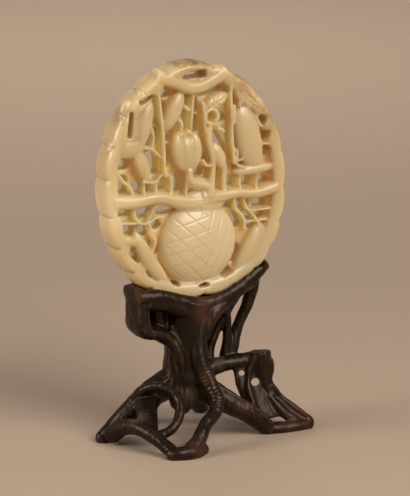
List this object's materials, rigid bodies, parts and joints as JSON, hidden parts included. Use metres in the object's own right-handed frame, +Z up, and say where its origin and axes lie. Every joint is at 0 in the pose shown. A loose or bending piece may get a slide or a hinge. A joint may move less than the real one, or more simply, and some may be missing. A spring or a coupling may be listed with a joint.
{
  "type": "jade carving on stand",
  "caption": "Oval openwork jade plaque with a lobed rim, carved with a woven basket, ribbons, leaves and flowers, standing in the grooved saddle of a dark root-form wooden stand.",
  "frame": {"origin": "on the table plane, under the middle of the object's box", "axes": "+Z up, +X to the right as seen from the front, the carved front of the plaque faces -Y"},
  "size_m": [0.069, 0.0543, 0.1179],
  "materials": {
    "jade": "waxy polish",
    "wood": "dark polished"
  },
  "bodies": {
    "root": {"jade_plaque": "jade", "wood_stand": "wood"}
  },
  "joints": []
}
